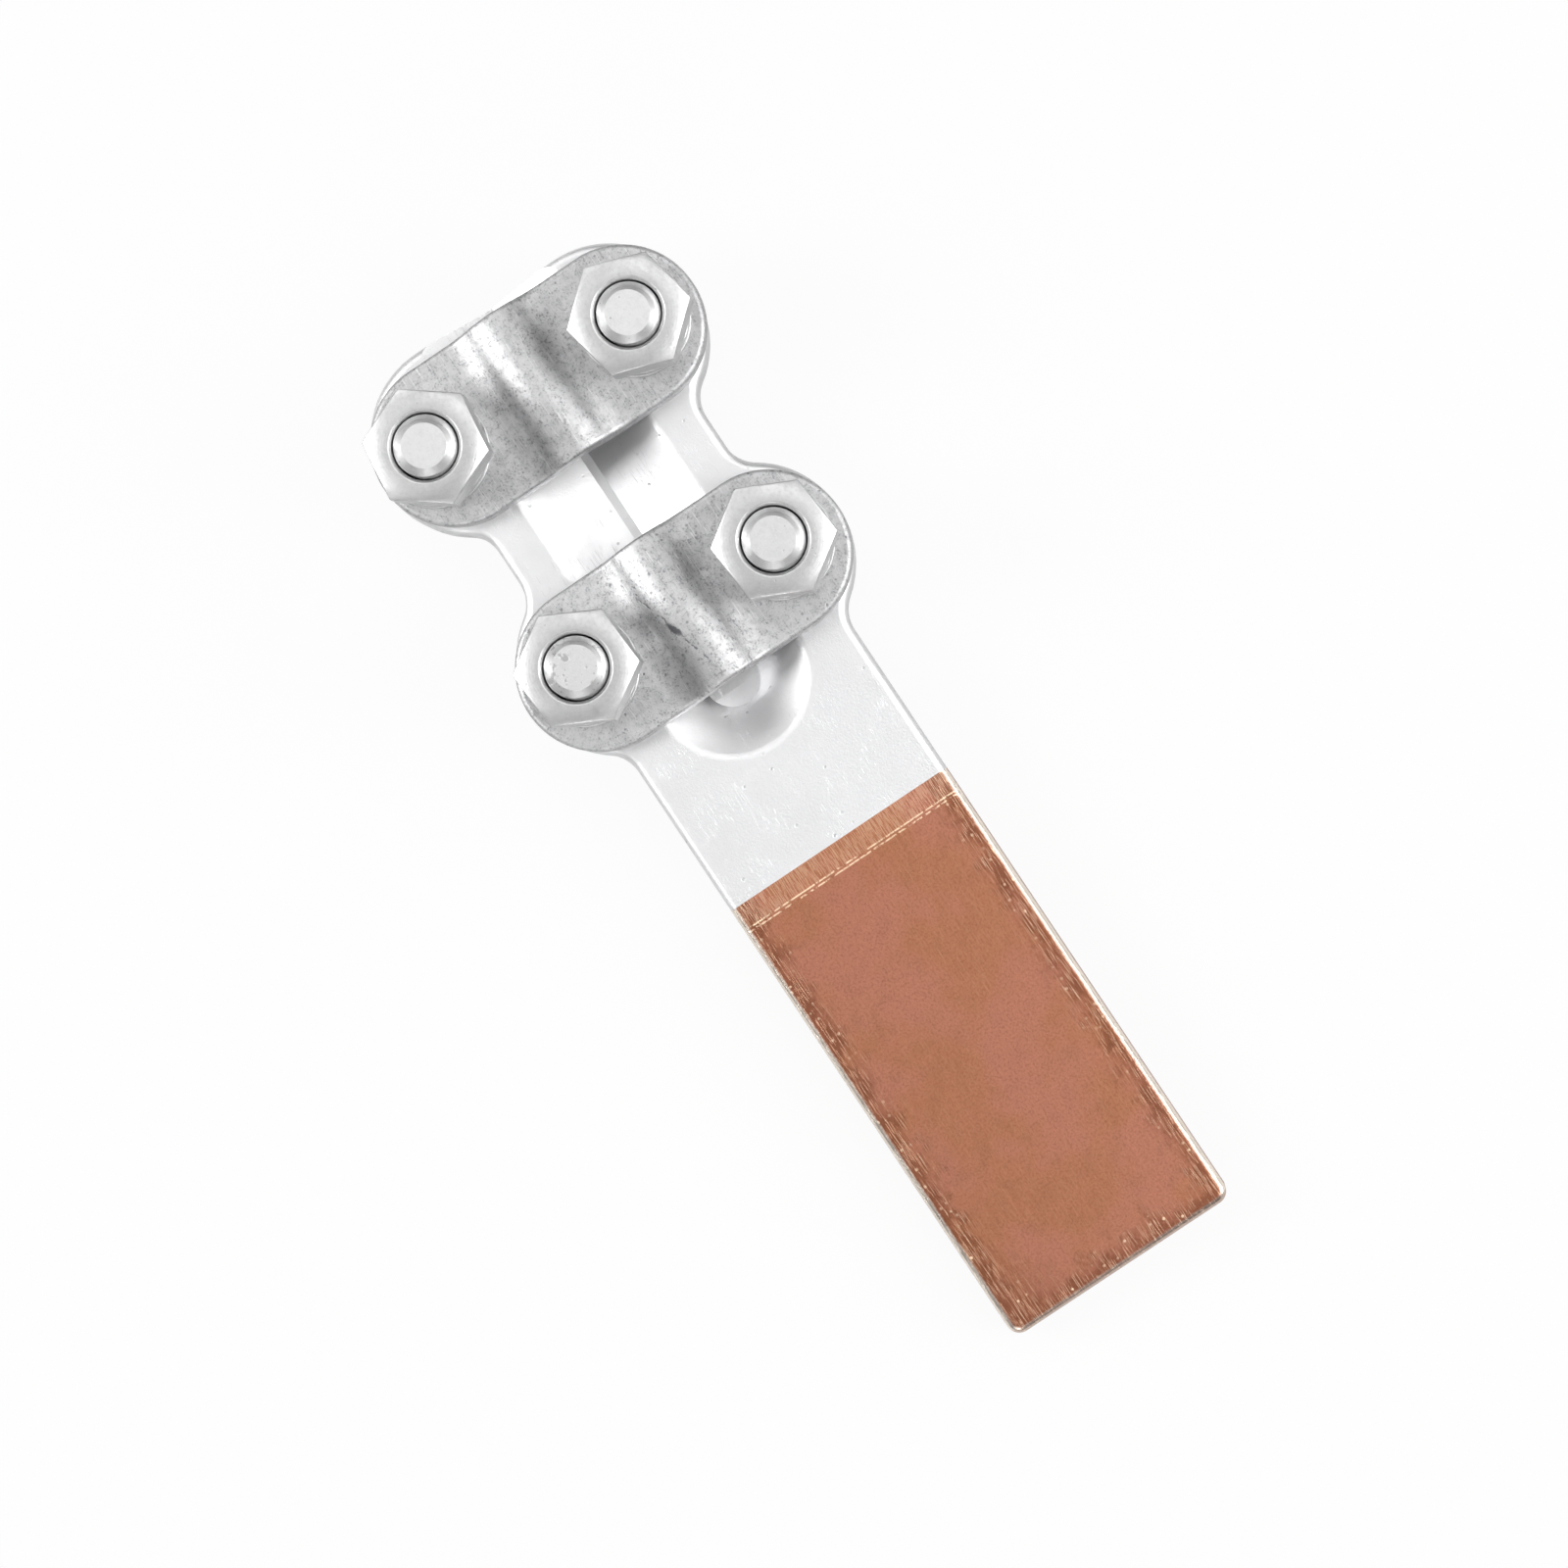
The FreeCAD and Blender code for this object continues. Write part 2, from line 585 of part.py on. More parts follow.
def make_bolt(label, along, across):
    """Hex bolt standing head down, its head's flats along the rib."""
    body = new_body(label, along, UNDER_Z, across=across)
    head_sketch = sketch_on(body, f"{label}_head_outline", "XY_Plane", "(-sizes.head_height)")
    add_outline(head_sketch, hexagon("sizes.head_flats"))
    pad(body, f"{label}_head", head_sketch, "sizes.head_height")

    bevel_sketch = sketch_on(body, f"{label}_bevel_section", "XZ_Plane")
    add_corner_cut(bevel_sketch, "sizes.head_flats", "(-sizes.head_height)", "+")
    turned(body, f"{label}_bevel", bevel_sketch, "Groove")

    radius = "(sizes.bolt_diameter / 2)"
    shank_sketch = sketch_on(body, f"{label}_shank_section", "XZ_Plane")
    tip = [(radius, "(sizes.bolt_length - sizes.bolt_tip)"), (f"({radius} - sizes.bolt_tip)", "sizes.bolt_length")]
    root = "(-sizes.head_height / 2)"
    add_outline(shank_sketch, [("0", root), (radius, root)] + tip + [("0", "sizes.bolt_length")])
    turned(body, f"{label}_shank", shank_sketch, "Revolution")


def make_nut(label, along, across, turn):
    """Hex nut with bevelled corners and a countersunk bore."""
    body = new_body(label, along, NUT_Z, turn, across)
    blank_sketch = sketch_on(body, f"{label}_outline", "XY_Plane")
    add_outline(blank_sketch, hexagon("sizes.nut_flats"))
    pad(body, f"{label}_blank", blank_sketch, "sizes.nut_height")

    for face, inward, name in (("0", "+", "lower"), ("sizes.nut_height", "-", "upper")):
        bevel_sketch = sketch_on(body, f"{label}_{name}_bevel_section", "XZ_Plane")
        add_corner_cut(bevel_sketch, "sizes.nut_flats", face, inward)
        turned(body, f"{label}_{name}_bevel", bevel_sketch, "Groove")

    bore = "(sizes.bolt_diameter / 2 + sizes.thread_gap)"
    mouth = "(sizes.nut_countersink / 2)"
    sink = f"({mouth} - {bore})"
    upper = "sizes.nut_height"
    wall = [(mouth, "0"), (bore, sink), (bore, f"({upper} - {sink})"), (mouth, upper)]
    bore_sketch = sketch_on(body, f"{label}_bore_section", "XZ_Plane")
    add_outline(bore_sketch, [("0", "0")] + wall + [("0", upper)])
    turned(body, f"{label}_bore", bore_sketch, "Groove")


def make_washer(label, along, across):
    """Flat washer."""
    body = new_body(label, along, WASHER_Z, across=across)
    sketch = sketch_on(body, f"{label}_circles", "XY_Plane")
    add_circle(sketch, "0", "0", "sizes.washer_diameter")
    add_circle(sketch, "0", "0", "sizes.washer_hole")
    pad(body, f"{label}_disc", sketch, "sizes.washer_thickness")


def make_spring_washer(label, along, across, turn):
    """Spring washer drawn flat by its nut, with a slanted gap between its ends."""
    body = new_body(label, along, SPRING_Z, turn, across)
    sketch = sketch_on(body, f"{label}_circles", "XY_Plane")
    add_circle(sketch, "0", "0", "sizes.spring_diameter")
    add_circle(sketch, "0", "0", "sizes.washer_hole")
    pad(body, f"{label}_ring", sketch, "sizes.spring_thickness")

    half_gap = "(sizes.spring_slit / 2)"
    half_lean = "(sizes.spring_slant / 2)"
    top = "sizes.spring_thickness"
    corners = [
        (f"(-{half_gap} - {half_lean})", "0"),
        (f"({half_gap} - {half_lean})", "0"),
        (f"({half_gap} + {half_lean})", top),
        (f"(-{half_gap} + {half_lean})", top),
    ]
    gap_sketch = sketch_on(body, f"{label}_gap_section", "XZ_Plane")
    add_outline(gap_sketch, corners)
    cut_through(body, f"{label}_gap", gap_sketch)


make_clamp_body()
make_copper_palm()
for plate, place in PLATES:
    make_clamp_plate(
        f"{plate}_clamp_plate",
        f"{place} + sizes.{plate}_plate_along",
        f"sizes.{plate}_plate_across",
    )
    for side, sign in SIDES:
        bolt = f"{plate}_{side}"
        along = f"{place} + sizes.{bolt}_along"
        across = f"{sign}{BOLT_Y} + sizes.{bolt}_across"
        turn = f"sizes.{bolt}_turn"
        make_bolt(f"{bolt}_bolt", along, across)
        make_washer(f"{bolt}_flat_washer", along, across)
        make_spring_washer(f"{bolt}_spring_washer", along, across, turn)
        make_nut(f"{bolt}_nut", along, across, turn)

document.recompute()
failed = [item.Name for item in document.Objects if {"Invalid", "Error"} & set(item.State)]
if failed:
    raise RuntimeError(f"failed objects: {failed}")

bodies = [item for item in document.Objects if item.TypeId == "PartDesign::Body"]
for body in bodies:
    if body.Shape.isNull() or not body.Shape.isValid() or len(body.Shape.Solids) != 1:
        raise RuntimeError(f"{body.Label} is not one valid solid")

os.makedirs("parts", exist_ok=True)
for body in bodies:
    body.Shape.exportStep(os.path.join("parts", f"{body.Label}.step"))
print(f"wrote {len(bodies)} pieces")
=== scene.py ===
"""Looks of a bolted copper-aluminium terminal clamp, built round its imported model.

The aluminium body, the copper palm and the two keeper plates keep their own
shapes and get finishes. The bolts, nuts and washers are built again with threads
and softened edges. Everything is in metres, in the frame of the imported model:
+X towards the palm's free end, +Y to the left, +Z up.
"""
import logging
import math
from dataclasses import dataclass, field
from enum import Enum
from typing import Any, Sequence, Union

import bmesh
import bpy
from mathutils import Matrix, Vector


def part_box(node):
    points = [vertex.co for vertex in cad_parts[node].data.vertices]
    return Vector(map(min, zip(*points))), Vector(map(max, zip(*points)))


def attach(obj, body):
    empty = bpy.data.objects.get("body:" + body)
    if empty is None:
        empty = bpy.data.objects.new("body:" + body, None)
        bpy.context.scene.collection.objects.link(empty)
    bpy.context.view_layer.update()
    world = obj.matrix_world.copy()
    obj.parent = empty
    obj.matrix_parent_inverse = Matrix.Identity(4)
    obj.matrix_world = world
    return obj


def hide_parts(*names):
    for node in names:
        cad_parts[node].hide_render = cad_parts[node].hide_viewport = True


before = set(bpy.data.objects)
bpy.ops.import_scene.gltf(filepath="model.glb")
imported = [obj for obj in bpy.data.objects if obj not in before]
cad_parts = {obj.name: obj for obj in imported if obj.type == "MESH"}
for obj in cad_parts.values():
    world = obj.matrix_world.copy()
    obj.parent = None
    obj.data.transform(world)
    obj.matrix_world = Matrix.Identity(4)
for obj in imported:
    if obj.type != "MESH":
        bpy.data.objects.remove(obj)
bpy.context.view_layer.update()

log = logging.getLogger("terminal_clamp")

MM = 0.001
FULL_TURN = 2 * math.pi
UP = Vector((0, 0, 1))
CORNER_BEVEL_DEG = 24.0
BOLT_PALE = (0.80, 0.80, 0.80)
BOLT_DARK = (0.62, 0.62, 0.625)
LOCAL = "local"
HEAD = "head"

Value = Union[float, "Term"]
Profile = Sequence[tuple[float, float]]


# Shader graphs


@dataclass(frozen=True)
class Term:
    """A socket of a material, which Python's operators turn into Math nodes."""

    graph: "Graph"
    socket: bpy.types.NodeSocket

    def __add__(self, other: Value) -> "Term":
        """Sum of two values."""
        return self.graph.math("ADD", self, other)

    __radd__ = __add__

    def __sub__(self, other: Value) -> "Term":
        """Difference of two values."""
        return self.graph.math("SUBTRACT", self, other)

    def __rsub__(self, other: Value) -> "Term":
        """Difference of a plain number and this value."""
        return self.graph.math("SUBTRACT", other, self)

    def __mul__(self, other: Value) -> "Term":
        """Product of two values."""
        return self.graph.math("MULTIPLY", self, other)

    __rmul__ = __mul__

    def __truediv__(self, other: Value) -> "Term":
        """Quotient of two values."""
        return self.graph.math("DIVIDE", self, other)

    def __pow__(self, other: Value) -> "Term":
        """Power of two values."""
        return self.graph.math("POWER", self, other)

    def above(self, low: float, high: float) -> "Term":
        """Smooth step from 0 at low to 1 at high.

        Args:
            low: value at which the step starts.
            high: value at which it is complete.

        Returns:
            The step, from 0 to 1.
        """
        settings = {"interpolation_type": "SMOOTHSTEP", "clamp": True}
        sockets = {"Value": self, "From Min": low, "From Max": high}
        return self.graph.node("ShaderNodeMapRange", settings, sockets)

    def below(self, low: float, high: float) -> "Term":
        """Smooth step from 1 at low to 0 at high."""
        return 1 - self.above(low, high)

    def size(self) -> "Term":
        """Absolute value."""
        return self.graph.math("ABSOLUTE", self)

    def wave(self) -> "Term":
        """Sine of an angle in radians."""
        return self.graph.math("SINE", self)


class Graph:
    """Node tree of one material, with its Principled shader."""

    def __init__(self, name: str) -> None:
        """Start a material.

        Args:
            name: the material's name.
        """
        self.material = bpy.data.materials.new(name)
        self.material.use_nodes = True
        self.tree = self.material.node_tree
        self.tree.nodes.clear()
        self.shader = self.tree.nodes.new("ShaderNodeBsdfPrincipled")
        self.output = self.tree.nodes.new("ShaderNodeOutputMaterial")
        self.tree.links.new(self.shader.outputs[0], self.output.inputs[0])

    def node(
        self,
        kind: str,
        settings: dict[str, Any] | None = None,
        sockets: dict[Union[str, int], Any] | None = None,
        output: Union[str, int] = 0,
    ) -> Term:
        """Add a node.

        Args:
            kind: the node's type.
            settings: its properties, set first.
            sockets: values or terms for its inputs, by name or number.
            output: which of its outputs is wanted.

        Returns:
            That output.
        """
        made = self.tree.nodes.new(kind)
        for name, value in (settings or {}).items():
            setattr(made, name, value)
        for name, value in (sockets or {}).items():
            self.feed(made.inputs[name], value)
        return Term(self, made.outputs[output])

    def feed(self, socket: bpy.types.NodeSocket, value: Any) -> None:
        """Link a term to a socket, or set a plain value on it."""
        if isinstance(value, Term):
            self.tree.links.new(value.socket, socket)
        elif isinstance(value, (int, float)) or len(value) == len(socket.default_value):
            socket.default_value = value
        else:
            socket.default_value = (*value, 1.0)

    def math(self, operation: str, *values: Value) -> Term:
        """Math node on up to three values."""
        return self.node("ShaderNodeMath", {"operation": operation}, dict(enumerate(values)))

    def mix(self, factor: Value, first: Any, second: Any) -> Term:
        """Mix of two colours.

        Args:
            factor: share of the second colour.
            first: colour at factor 0.
            second: colour at factor 1.

        Returns:
            The mixed colour.
        """
        settings = {"data_type": "RGBA", "clamp_factor": True}
        return self.node("ShaderNodeMix", settings, {0: factor, 6: first, 7: second}, 2)

    def place(self) -> Term:
        """Point on the surface in the part's frame, in metres."""
        return self.node("ShaderNodeTexCoord", output="Object")

    def local(self) -> Term:
        """Point on the surface in the piece's own frame, in metres."""
        return self.node("ShaderNodeAttribute", {"attribute_name": LOCAL}, output="Vector")

    def turned(self, vector: Term, scale: Sequence[float], turn: float) -> Term:
        """Vector scaled and turned about Z by a Mapping node.

        Args:
            vector: the vector.
            scale: factor along each axis.
            turn: angle about Z in radians.

        Returns:
            The mapped vector.
        """
        sockets = {"Vector": vector, "Rotation": (0, 0, turn), "Scale": scale}
        return self.node("ShaderNodeMapping", None, sockets)

    def axes(self, vector: Term) -> tuple[Term, Term, Term]:
        """Three components of a vector."""
        made = self.node("ShaderNodeSeparateXYZ", None, {0: vector})
        outputs = made.socket.node.outputs
        return Term(self, outputs[0]), Term(self, outputs[1]), Term(self, outputs[2])

    def noise(self, vector: Term, per_mm: float, detail: float = 3.0, rough: float = 0.55) -> Term:
        """Noise from 0 to 1.

        Args:
            vector: where it is read, in metres.
            per_mm: how many swells there are in a millimetre.
            detail: number of finer layers.
            rough: strength of the finer layers.

        Returns:
            The noise.
        """
        sockets = {"Vector": vector, "Scale": per_mm / MM, "Detail": detail, "Roughness": rough}
        return self.node("ShaderNodeTexNoise", None, sockets)

    def specks(self, vector: Term, per_mm: float, reach: float, share: float) -> Term:
        """Small round spots in some of the cells of a grid without order.

        Args:
            vector: where it is read, in metres.
            per_mm: how many cells there are in a millimetre.
            reach: radius of a spot, as a share of its cell.
            share: share of the cells that have a spot.

        Returns:
            1 in a spot and 0 elsewhere.
        """
        settings = {"feature": "F1"}
        sockets = {"Vector": vector, "Scale": per_mm / MM}
        distance = self.node("ShaderNodeTexVoronoi", settings, sockets, "Distance")
        colour = Term(self, distance.socket.node.outputs["Color"])
        lot, size, _ = self.axes(colour)
        return distance.below(reach * 0.5, reach) * lot.below(share * 0.98, share) * (0.4 + 0.6 * size)

    def scratches(
        self, vector: Term, turn: float, length_mm: float, width_mm: float, share: float
    ) -> Term:
        """Fine scratches along one direction of the XY plane.

        Args:
            vector: where it is read, in metres.
            turn: direction of the scratches, as an angle from X in radians.
            length_mm: rough length of a scratch.
            width_mm: rough width of a scratch.
            share: height of noise above which a scratch shows, from 0 to 1.

        Returns:
            1 on a scratch and 0 off it.
        """
        scale = (1 / length_mm, 1 / width_mm, 1 / length_mm)
        grain = self.noise(self.turned(vector, scale, turn), 1.0, 1.0, 0.4)
        return grain.above(share, share + 0.05)

    def bump(self, height: Term, depth_mm: float, under: Term | None = None) -> Term:
        """Normal of a bumped surface.

        Args:
            height: height from 0 to 1.
            depth_mm: height of 1 in millimetres.
            under: normal that it is laid over.

        Returns:
            The normal.
        """
        sockets: dict[Union[str, int], Any] = {"Height": height, "Distance": depth_mm * MM}
        sockets["Strength"] = 1.0
        if under is not None:
            sockets["Normal"] = under
        return self.node("ShaderNodeBump", None, sockets)

    def finish(self, **sockets: Any) -> bpy.types.Material:
        """Set the shader's sockets, given by name with underscores for spaces.

        Args:
            sockets: a value or term for each socket.

        Returns:
            The finished material.
        """
        for name, value in sockets.items():
            self.feed(self.shader.inputs[name.replace("_", " ").title()], value)
        return self.material


# Finishes


@dataclass(frozen=True)
class CastAluminium:
    """Bare cast aluminium, tumbled and pale, with pits and handling marks."""

    base: tuple[float, float, float] = (0.80, 0.80, 0.805)
    dull: tuple[float, float, float] = (0.71, 0.71, 0.72)
    mark: tuple[float, float, float] = (0.30, 0.30, 0.31)
    roughness: float = 0.46
    depth_mm: float = 0.045

    def material(self) -> bpy.types.Material:
        """Make the material.

        Returns:
            The material.
        """
        g = Graph("cast_aluminium")
        at = g.place()
        cloud = g.noise(at, 0.12, 3.0)
        grain = g.noise(at, 2.6, 4.0, 0.65)
        pits = g.specks(at, 0.42, 0.16, 0.22)
        rub = g.scratches(at, 0.6, 4.0, 0.10, 0.66) * g.noise(at, 0.18, 1.0).above(0.5, 0.62)
        colour = g.mix(cloud.above(0.35, 0.7) * 0.6 + grain * 0.25, self.base, self.dull)
        colour = g.mix(pits * 0.6 + rub * 0.35, colour, self.mark)
        rough = self.roughness + (cloud - 0.5) * 0.16 + (grain - 0.5) * 0.10
        height = grain * 0.7 + cloud * 0.5 - pits * 1.2 - rub * 0.3
        normal = g.bump(height, self.depth_mm)
        return g.finish(base_color=colour, roughness=rough, metallic=1.0, normal=normal)


@dataclass(frozen=True)
class BareCopper:
    """Bare copper bar, browner and more scratched towards its rim, with a painted highlight on its top
    rounded edges.
    """

    pink: tuple[float, float, float] = (0.49, 0.205, 0.135)
    ochre: tuple[float, float, float] = (0.45, 0.190, 0.106)
    brown: tuple[float, float, float] = (0.20, 0.070, 0.036)
    burr: tuple[float, float, float] = (0.98, 0.74, 0.52)
    # near-white colour of the painted highlight on the top rounded edges
    painted_edge_highlight: tuple[float, float, float] = (0.99, 0.90, 0.80)
    roughness: float = 0.46
    depth_mm: float = 0.032
    half_length: float = 39.5
    half_width: float = 20.0
    corner: float = 2.2
    weld_band: float = 3.7
    scribe_gap: float = 0.28

    def material(self) -> bpy.types.Material:
        """Make the material.

        Returns:
            The material.
        """
        g = Graph("bare_copper")
        at = g.place()
        x, y, z = g.axes(at)
        x, y, z = x / MM, y / MM, z / MM
        from_joint = x + self.half_length
        gap = g.math("MINIMUM", self.half_length - x, self.half_width - y.size())
        past_x = g.math("MAXIMUM", x - (self.half_length - self.corner), 0.0)
        past_y = g.math("MAXIMUM", y.size() - (self.half_width - self.corner), 0.0)
        lip = self.corner - (past_x * past_x + past_y * past_y) ** 0.5
        cloud = g.noise(at, 0.06, 3.0, 0.55)
        blotch = g.noise(at, 0.32, 4.0, 0.65)
        grain = g.noise(at, 2.6, 3.0, 0.62)
        rim = (gap + (blotch - 0.5) * 10).below(1.0, 5.6)
        nearness = (x - 33.0) * 0.55 - (y + 19.0) * 0.8 + (blotch - 0.5) * 10
        top = (z + (grain - 0.5) * 0.8).above(-2.4, -1.2)
        worn = g.math("MAXIMUM", rim, nearness.above(-8.0, 1.0) * 0.9) * (0.40 + 0.60 * top)
        along = g.scratches(at, 0.15, 5.0, 0.12, 0.62)
        across = g.scratches(at, -1.0, 3.0, 0.11, 0.64)
        hairs = g.math("MAXIMUM", along, across) * (worn + cloud.above(0.40, 0.62) * 0.16)
        nicks = g.specks(at, 0.75, 0.24, 0.55) * worn
        scribe = ((from_joint - self.weld_band - 0.3).size() - self.scribe_gap).size().below(0.04, 0.20)
        scribe = scribe * g.noise(at, 1.1, 2.0).above(0.40, 0.56)
        ground = from_joint.below(self.weld_band - 0.4, self.weld_band + 0.5)
        hatch = g.scratches(at, 0.0, 2.5, 0.16, 0.48) * ground
        colour = g.mix(cloud.above(0.42, 0.60), self.pink, self.ochre)
        colour = g.mix(worn * 0.72 + blotch.above(0.5, 0.75) * 0.18, colour, self.brown)
        colour = g.mix(grain.above(0.40, 0.74) * 0.42, colour, self.brown)
        light = (hairs * 0.42 + nicks * 0.7 + scribe * 0.85 + hatch * 0.22) * top
        colour = g.mix(light, colour, self.burr)
        # painted highlight: a near-white band on the top rounded edges, made weaker at the +X end as
        # painted shade there; only the lower roughness stands for burnish
        edge = (lip + (grain - 0.5) * 0.5).below(0.5, 1.15) * top
        highlight_fade_at_end = (self.half_length - x).below(0.8, 1.6)
        colour = g.mix(edge * (0.92 - highlight_fade_at_end * 0.45), colour, self.painted_edge_highlight)
        rough = self.roughness + (blotch - 0.5) * 0.18 - edge * 0.16
        height = grain * 0.40 + cloud * 0.5 + blotch * 0.35 + light * 0.7
        normal = g.bump(height, self.depth_mm)
        return g.finish(base_color=colour, roughness=rough, metallic=1.0, normal=normal)


@dataclass(frozen=True)
class GalvanisedPlate:
    """Hot-dipped zinc on a keeper plate, mottled, pitted and scratched."""

    name: str = "galvanised_plate"
    pale: tuple[float, float, float] = (0.58, 0.58, 0.585)
    dark: tuple[float, float, float] = (0.36, 0.36, 0.365)
    stain: tuple[float, float, float] = (0.17, 0.17, 0.175)
    pit: tuple[float, float, float] = (0.10, 0.10, 0.11)
    rubbed: tuple[float, float, float] = (0.85, 0.85, 0.85)
    roughness: float = 0.54
    pit_share: float = 0.30
    pit_size: float = 0.26
    pit_depth: float = 0.6
    depth_mm: float = 0.08
    gash: bool = False

    def material(self) -> bpy.types.Material:
        """Make the material.

        Returns:
            The material.
        """
        g = Graph(self.name)
        at = g.place()
        cloud = g.noise(at, 0.16, 3.0, 0.55)
        mottle = g.noise(at, 0.8, 4.0, 0.65)
        grain = g.noise(at, 3.0, 3.0, 0.6)
        pits = g.specks(at, 0.85, self.pit_size, self.pit_share)
        fine = g.specks(at, 1.9, 0.28, self.pit_share)
        rub = g.scratches(at, 0.3, 3.5, 0.16, 0.64) * cloud.above(0.42, 0.6)
        tone = cloud.above(0.3, 0.7) * 0.30 + mottle.above(0.35, 0.75) * 0.45
        tone = tone + grain.above(0.4, 0.75) * 0.25
        colour = g.mix(tone, self.pale, self.dark)
        stained = grain.above(0.48, 0.66) * mottle.above(0.40, 0.60)
        colour = g.mix(stained * 0.6, colour, self.stain)
        colour = g.mix(rub * 0.45, colour, self.rubbed)
        marks = pits * self.pit_depth + fine * self.pit_depth * 0.6
        if self.gash:
            marks = g.math("MAXIMUM", marks, self._gash(g, at, mottle))
        colour = g.mix(marks, colour, self.pit)
        rough = self.roughness + (mottle - 0.5) * 0.25
        height = mottle * 0.8 + grain * 0.35 + cloud * 0.9 - marks * 0.8
        normal = g.bump(height, self.depth_mm)
        return g.finish(base_color=colour, roughness=rough, metallic=1.0, normal=normal)

    @staticmethod
    def _gash(g: Graph, at: Term, mottle: Term) -> Term:
        """Broken scratch that runs slantwise over the middle of the plate."""
        x, y, _ = g.axes(at)
        along = x / MM + 80.0
        off = y / MM + 2.75 - along * 0.29 + (mottle - 0.5) * 1.1
        reach = along.size().below(5.5, 8.5)
        line = off.size().below(0.05, 0.26) * reach * g.noise(at, 0.9, 2.0).above(0.42, 0.54)
        blot = ((along * 0.5) ** 2 + (off * 1.6) ** 2).below(0.12, 0.9)
        return g.math("MAXIMUM", line * 0.75, blot * 0.9)


@dataclass(frozen=True)
class GalvanisedFastener:
    """Zinc on the nuts, bolts and washers: pale, satin, with faint turning marks."""

    name: str = "galvanised_fastener"
    pale: tuple[float, float, float] = (0.63, 0.63, 0.63)
    dark: tuple[float, float, float] = (0.46, 0.46, 0.465)
    pit: tuple[float, float, float] = (0.20, 0.20, 0.20)
    roughness: float = 0.42
    depth_mm: float = 0.03
    blotches: float = 0.12

    def material(self) -> bpy.types.Material:
        """Make the material.

        Returns:
            The material.
        """
        g = Graph(self.name)
        at = g.place()
        own_x, own_y, _ = g.axes(g.local())
        off_axis = ((own_x * own_x + own_y * own_y) ** 0.5) / MM
        cloud = g.noise(at, 0.35, 3.0, 0.6)
        mottle = g.noise(at, 1.5, 4.0, 0.65)
        turning = (off_axis * 14.0 + mottle * 2.0).wave()
        pits = g.specks(at, 1.0, 0.20, self.blotches)
        patches = g.noise(at, 0.8, 2.0).above(0.58, 0.64) * self.blotches
        tone = cloud.above(0.35, 0.7) * 0.4 + mottle.above(0.40, 0.75) * 0.5
        colour = g.mix(tone, self.pale, self.dark)
        colour = g.mix(pits * 0.6 + patches * 0.5, colour, self.pit)
        rough = self.roughness + (mottle - 0.5) * 0.2 + (cloud - 0.5) * 0.12
        height = mottle * 0.6 + turning * 0.05 + cloud * 0.3 - pits * 0.6 - patches * 0.6
        normal = g.bump(height, self.depth_mm)
        return g.finish(base_color=colour, roughness=rough, metallic=1.0, normal=normal)


# Meshes


def revolve(mesh: bmesh.types.BMesh, profile: Profile, steps: int, closed: bool) -> None:
    """Turn a profile about Z through a full turn.

    Args:
        mesh: the mesh that it is added to.
        profile: points as distance from the axis and height, in metres.
        steps: number of faces round the turn.
        closed: whether the profile's last point joins its first.
    """
    points = [mesh.verts.new((radius, 0, height)) for radius, height in profile]
    pairs = list(zip(points, points[1:] + points[:1] if closed else points[1:]))
    edges = [mesh.edges.new(pair) for pair in pairs]
    bmesh.ops.spin(
        mesh,
        geom=points + edges,
        cent=(0, 0, 0),
        axis=UP,
        angle=FULL_TURN,
        steps=steps,
        use_merge=True,
    )
    tidy(mesh)


def tidy(mesh: bmesh.types.BMesh) -> None:
    """Merge doubled points and turn every face outwards."""
    bmesh.ops.remove_doubles(mesh, verts=mesh.verts, dist=0.002 * MM)
    bmesh.ops.recalc_face_normals(mesh, faces=mesh.faces)


def hex_reach(angle: float, flats: float) -> float:
    """Distance from the axis to a hexagon whose corner is at angle 0.

    Args:
        angle: direction in radians.
        flats: distance across flats in metres.

    Returns:
        The distance in metres.
    """
    sector = math.pi / 3
    from_middle = (angle % sector) - sector / 2
    return flats / 2 / math.cos(from_middle)


def press_to_hexagon(
    mesh: bmesh.types.BMesh, flats: float, face_radius: float, height: float, bevelled: tuple[bool, bool]
) -> None:
    """Move the outermost points of a turned blank out to a hexagon with bevelled corners.

    Args:
        mesh: blank whose outer wall stands at half the distance across flats.
        flats: distance across flats in metres.
        face_radius: radius of the flat ring inside the bevel, in metres.
        height: height of the blank in metres.
        bevelled: whether the lower and the upper face are bevelled.
    """
    lower, upper = bevelled
    slope = math.tan(math.radians(CORNER_BEVEL_DEG))
    for vert in mesh.verts:
        radius = math.hypot(vert.co.x, vert.co.y)
        if abs(radius - flats / 2) > 0.01 * MM:
            continue
        reach = hex_reach(math.atan2(vert.co.y, vert.co.x), flats)
        drop = (reach - face_radius) * slope
        vert.co.x *= reach / radius
        vert.co.y *= reach / radius
        if vert.co.z > height / 2:
            vert.co.z = height - (drop if upper else 0)
        else:
            vert.co.z = drop if lower else 0


